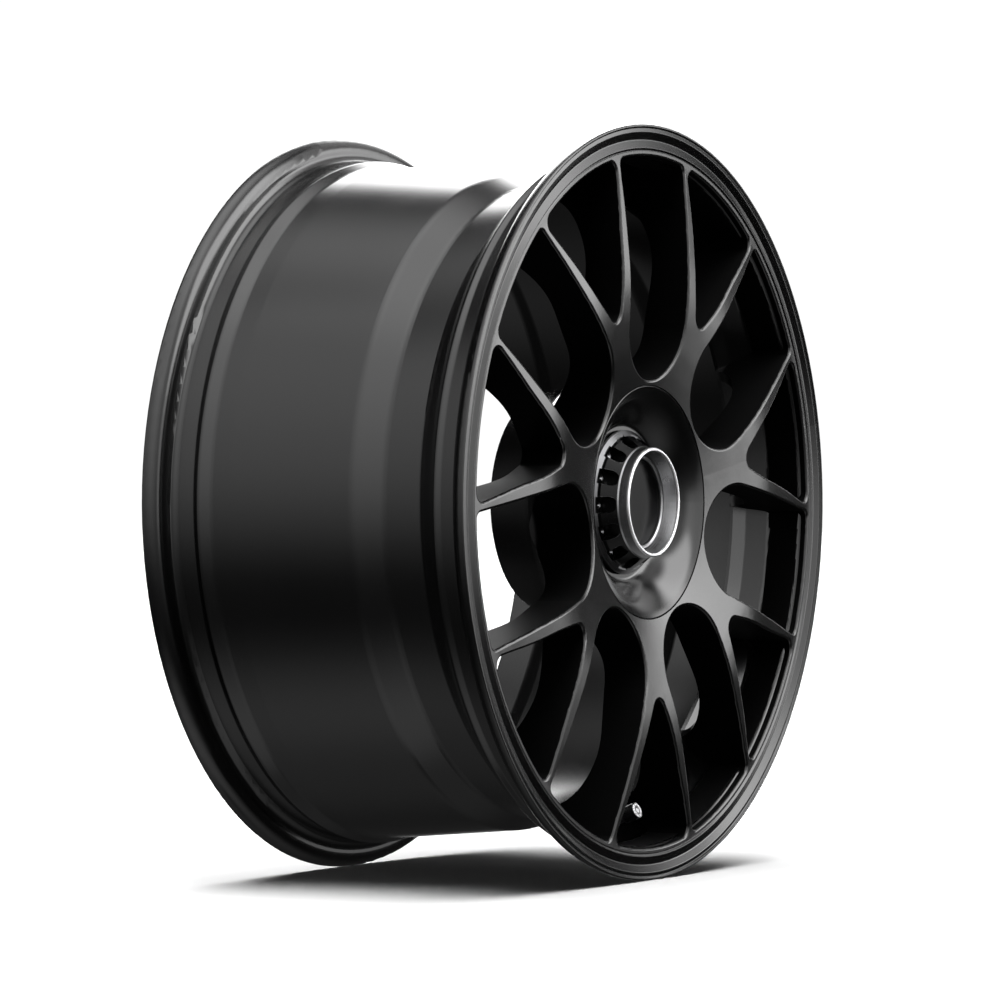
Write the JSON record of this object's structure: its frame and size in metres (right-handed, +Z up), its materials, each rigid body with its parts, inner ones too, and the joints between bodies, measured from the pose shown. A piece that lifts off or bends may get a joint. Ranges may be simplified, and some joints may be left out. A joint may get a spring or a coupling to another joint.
{
  "type": "road wheel rim",
  "caption": "Forged wheel rim with Y-shaped spokes, stepped lip, dished centre cover with slotted centre nut, and tyre valve.",
  "frame": {"origin": "wheel centre: on the axle, midway between the outer faces of the two rim flanges", "axes": "+Y along the axle towards the car, the outer face looks towards -Y, +Z up, +X to the right as seen from the front"},
  "size_m": [0.4966, 0.2426, 0.4966],
  "materials": {
    "rim_paint": "satin black paint over forged aluminium",
    "cover_paint": "satin black paint",
    "nut_black": "black anodised",
    "machined_bright": "fine turned",
    "bezel_bright": "satin turned",
    "badge_black": "gloss black",
    "carrier_alu": "as turned",
    "zinc_steel": "zinc plated",
    "spring_steel": "bright drawn",
    "ring_polymer": "moulded",
    "rubber_black": "moulded",
    "valve_black": "black anodised",
    "valve_chrome": "polished",
    "core_brass": "drawn"
  },
  "bodies": {
    "wheel": {"forged_rim": "rim_paint", "bolt_seat_inserts": "zinc_steel", "hub_centring_ring": "ring_polymer", "valve_stem": "valve_black", "valve_grommet": "rubber_black", "valve_washer": "zinc_steel", "valve_hex_nut": "valve_black", "valve_core_body": "core_brass", "valve_core_spring": "spring_steel"},
    "centre_cap": {"cap_carrier": "carrier_alu", "cover_dowels": "spring_steel", "carrier_tension_ring": "spring_steel", "dished_cover": "cover_paint", "cover_gasket": "rubber_black"},
    "nut_washer": {"thrust_washer": "zinc_steel"},
    "nut": {"centre_nut": "nut_black", "nut_o_ring": "rubber_black", "nut_lip_ring": "machined_bright", "badge_bezel": "bezel_bright", "badge_disc": "badge_black", "badge_clip": "spring_steel"},
    "valve_cap_disc": {"valve_cap_seal": "rubber_black"},
    "valve_cap": {"valve_cap": "valve_chrome"},
    "valve_pin": {"valve_core_pin": "core_brass"}
  },
  "joints": [
    {"name": "cap_pull", "type": "slide", "parent": "wheel", "child": "centre_cap", "axis": [0, -1, 0], "range_m": [0, 0.12]},
    {"name": "nut_travel", "type": "slide", "parent": "centre_cap", "child": "nut_washer", "axis": [0, -1, 0], "range_m": [0, 0.0061]},
    {"name": "nut_turn", "type": "hinge", "parent": "nut_washer", "child": "nut", "pos_m": [0, -0.0993, 0], "axis": [0, -1, 0], "range_deg": [0, 1440]},
    {"name": "valve_cap_travel", "type": "slide", "parent": "wheel", "child": "valve_cap_disc", "axis": [0, -0.9245, 0.3811], "range_m": [0, 0.004]},
    {"name": "valve_cap_turn", "type": "hinge", "parent": "valve_cap_disc", "child": "valve_cap", "pos_m": [0, -0.0764, -0.215], "axis": [0, -0.9245, 0.3811], "range_deg": [0, 1800]},
    {"name": "valve_pin_press", "type": "slide", "parent": "wheel", "child": "valve_pin", "axis": [0, 0.9245, -0.3811], "range_m": [0, 0.0012], "stiffness_N_per_m": 400, "deforming": ["valve_core_spring"]}
  ],
  "couplings": [
    {"joint": "nut_travel", "follows": "nut_turn", "m_per_rad": 0.00023873},
    {"joint": "valve_cap_travel", "follows": "valve_cap_turn", "m_per_rad": 0.00012637}
  ]
}
